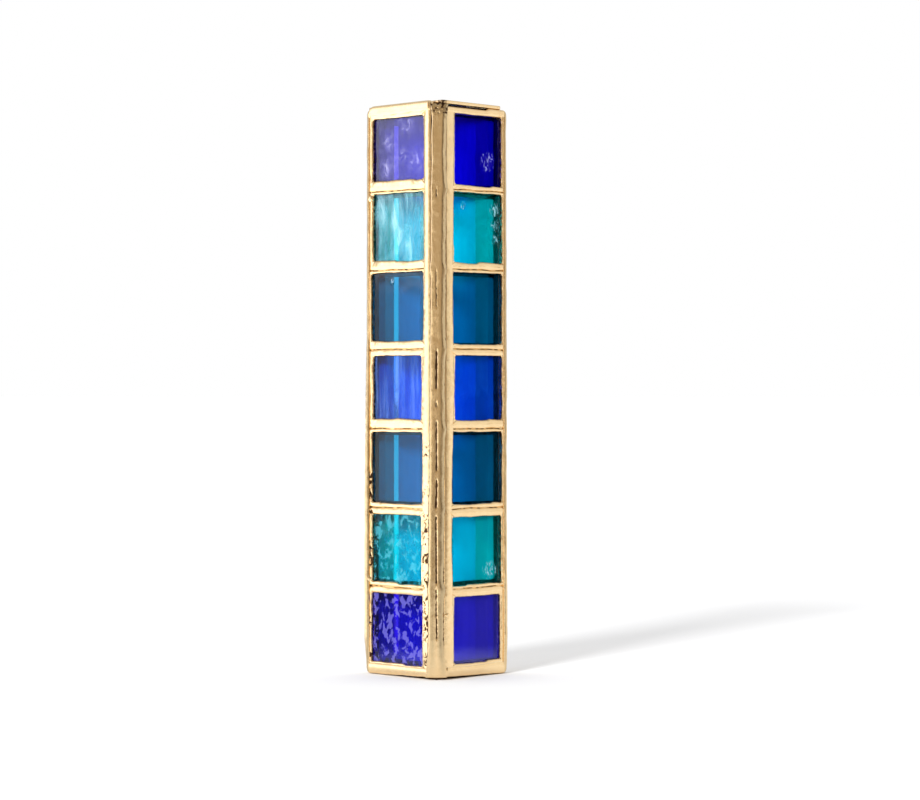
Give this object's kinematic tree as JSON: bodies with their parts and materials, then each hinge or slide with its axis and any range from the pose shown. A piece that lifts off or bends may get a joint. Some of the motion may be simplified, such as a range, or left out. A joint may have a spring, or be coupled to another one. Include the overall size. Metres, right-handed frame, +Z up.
{
  "type": "mezuzah case",
  "caption": "Triangular stained-glass mezuzah case in gold-plated copper-foil work, with a lift-off lid and back plate and a rolled parchment in a clear sleeve.",
  "frame": {"origin": "centre of the bounding box's footprint, on the underside of the bottom plate", "axes": "+Z up; -Y towards the front corner bead; +Y towards the flat back that goes on the doorpost; +X to the viewer's right when facing the front corner"},
  "size_m": [0.0306, 0.0172, 0.125],
  "materials": {
    "glass_cobalt": "streaky cobalt to violet sheet glass, slightly milky",
    "glass_turquoise": "wispy turquoise sheet glass with a rippled surface",
    "glass_petrol": "clear steel-blue sheet glass, smooth",
    "glass_royal": "streaky royal-blue sheet glass",
    "gold_plating": "gold plating over hand-run solder, bright, wavy and pitted",
    "copper_foil": "burnished adhesive copper foil, 0.15 mm with its tinning",
    "steel_plate": "satin neutral sheet metal, unplated",
    "parchment": "matt cream parchment, rolled, blank",
    "clear_film": "clear thin film"
  },
  "bodies": {
    "case": {"glass_left_1": "glass_cobalt", "glass_left_2": "glass_turquoise", "glass_left_3": "glass_petrol", "glass_left_4": "glass_royal", "glass_left_5": "glass_petrol", "glass_left_6": "glass_turquoise", "glass_left_7": "glass_cobalt", "foil_left_1": "copper_foil", "foil_left_2": "copper_foil", "foil_left_3": "copper_foil", "foil_left_4": "copper_foil", "foil_left_5": "copper_foil", "foil_left_6": "copper_foil", "foil_left_7": "copper_foil", "solder_grid_left": "gold_plating", "left_channel": "gold_plating", "glass_right_1": "glass_cobalt", "glass_right_2": "glass_turquoise", "glass_right_3": "glass_petrol", "glass_right_4": "glass_royal", "glass_right_5": "glass_petrol", "glass_right_6": "glass_turquoise", "glass_right_7": "glass_cobalt", "foil_right_1": "copper_foil", "foil_right_2": "copper_foil", "foil_right_3": "copper_foil", "foil_right_4": "copper_foil", "foil_right_5": "copper_foil", "foil_right_6": "copper_foil", "foil_right_7": "copper_foil", "solder_grid_right": "gold_plating", "right_channel": "gold_plating", "corner_seam": "gold_plating", "bottom_cap": "gold_plating"},
    "lid_and_back_plate": {"lid": "gold_plating", "lid_solder_fillet": "gold_plating", "back_plate": "steel_plate"},
    "scroll_in_sleeve": {"scroll": "parchment", "scroll_sleeve": "clear_film"}
  },
  "joints": [
    {"name": "lid_slide", "type": "slide", "parent": "case", "child": "lid_and_back_plate", "axis": [0, 0, 1], "range_m": [0, 0.26]},
    {"name": "scroll_slide", "type": "slide", "parent": "case", "child": "scroll_in_sleeve", "axis": [0, 0, 1], "range_m": [0, 0.13]}
  ],
  "couplings": [
    {"joint": "scroll_slide", "follows": "lid_slide", "ratio": 0.5}
  ]
}
